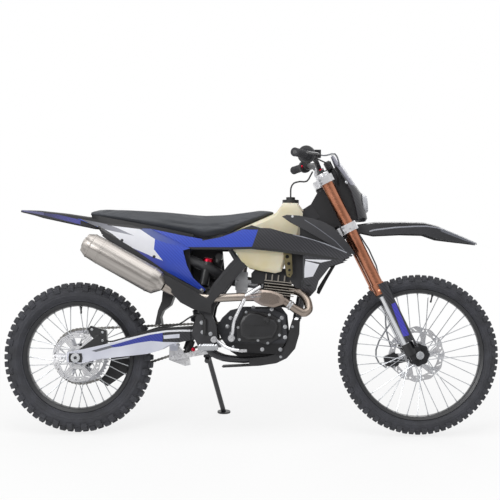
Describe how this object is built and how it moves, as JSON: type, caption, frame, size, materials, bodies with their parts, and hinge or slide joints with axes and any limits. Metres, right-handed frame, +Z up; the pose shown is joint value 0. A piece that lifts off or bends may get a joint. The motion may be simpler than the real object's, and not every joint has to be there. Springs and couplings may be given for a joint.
{
  "type": "motocross bike",
  "caption": "Off-road motorcycle with spoked wheels, long-travel fork, swingarm, open engine and slim bodywork, leaning on its side stand.",
  "frame": {"origin": "centre of the box round the parked bike, on the ground", "axes": "+X to the front of the bike, +Y to its left, +Z up"},
  "size_m": [2.1572, 0.7964, 1.2643],
  "materials": {
    "frame_black": "satin black paint",
    "engine_black": "black painted casting",
    "cylinder_metal": "cast, dull",
    "swingarm_silver": "satin",
    "linkage_metal": "satin",
    "shock_metal": "black with a steel rod",
    "steel": "brushed",
    "caliper_black": "black anodised",
    "chain_steel": "oiled steel",
    "plastic_black": "matte black",
    "cast_alloy": "cast",
    "header_steel": "heat-tinted steel",
    "muffler_metal": "brushed",
    "tank_cream": "translucent nylon",
    "hose_rubber": "black",
    "radiator_alloy": "bare",
    "seat_cover": "charcoal vinyl",
    "panel_blue": "gloss blue",
    "panel_carbon": "carbon weave",
    "lever_alloy": "satin",
    "clamp_silver": "machined",
    "fork_bronze": "bronze anodised",
    "chrome": "polished",
    "grip_rubber": "black",
    "lamp_clear": "clear",
    "panel_grey": "satin grey",
    "tyre": "rubber",
    "rim_black": "black anodised",
    "disc_steel": "ground steel",
    "sprocket_alloy": "anodised"
  },
  "bodies": {
    "chassis": {"frame": "frame_black", "crankcase": "engine_black", "cylinder": "cylinder_metal", "engine_covers": "engine_black", "subframe": "frame_black", "swingarm": "swingarm_silver", "linkage": "linkage_metal", "shock_absorber": "shock_metal", "rear_axle": "steel", "rear_caliper": "caliper_black", "rear_brake_hose": "hose_rubber", "chain": "chain_steel", "front_sprocket": "chain_steel", "chain_guide": "plastic_black", "carburettor": "cast_alloy", "airbox": "plastic_black", "exhaust_pipe": "header_steel", "muffler": "muffler_metal", "fuel_tank": "tank_cream", "filler_cap": "plastic_black", "tank_breather_hose": "hose_rubber", "radiators": "radiator_alloy", "seat": "seat_cover", "shrouds": "panel_blue", "shroud_wings": "panel_carbon", "lower_shrouds": "panel_carbon", "side_panels": "panel_blue", "rear_fender": "panel_carbon", "skid_plate": "plastic_black", "footpegs": "steel", "foot_controls": "lever_alloy"},
    "steering": {"handlebar": "frame_black", "upper_clamp": "clamp_silver", "lower_clamp": "clamp_silver", "fork_tubes": "fork_bronze", "fork_rods": "chrome", "fork_feet": "caliper_black", "bar_grips": "grip_rubber", "control_levers": "lever_alloy", "front_axle": "steel", "fork_guards": "panel_carbon", "front_caliper": "caliper_black", "headlight_lens": "lamp_clear", "headlight_mask": "panel_grey", "front_fender": "panel_carbon", "front_brake_hose": "hose_rubber", "bar_cables": "hose_rubber"},
    "front_wheel": {"front_tyre": "tyre", "front_rim": "rim_black", "front_hub": "rim_black", "front_spokes": "steel", "front_disc": "disc_steel"},
    "rear_wheel": {"rear_tyre": "tyre", "rear_rim": "rim_black", "rear_hub": "rim_black", "rear_spokes": "steel", "rear_disc": "disc_steel", "rear_sprocket": "sprocket_alloy"},
    "side_stand": {"side_stand": "frame_black"}
  },
  "joints": [
    {"name": "rear_wheel_spin", "type": "hinge", "parent": "chassis", "child": "rear_wheel", "pos_m": [-0.75058, -0.16463, 0.32538], "axis": [0, 0.9816, -0.1908], "continuous": true},
    {"name": "steer", "type": "hinge", "parent": "chassis", "child": "steering", "pos_m": [0.32042, -0.02753, 1.03071], "axis": [-0.4446, 0.1709, 0.8793], "range_deg": [-40, 40]},
    {"name": "front_wheel_spin", "type": "hinge", "parent": "steering", "child": "front_wheel", "pos_m": [0.73042, -0.16093, 0.34443], "axis": [0, 0.9816, -0.1908], "continuous": true},
    {"name": "side_stand_fold", "type": "hinge", "parent": "chassis", "child": "side_stand", "pos_m": [-0.19158, -0.03615, 0.30502], "axis": [0.0652, 0.8784, 0.4735], "range_deg": [0, 100]}
  ]
}
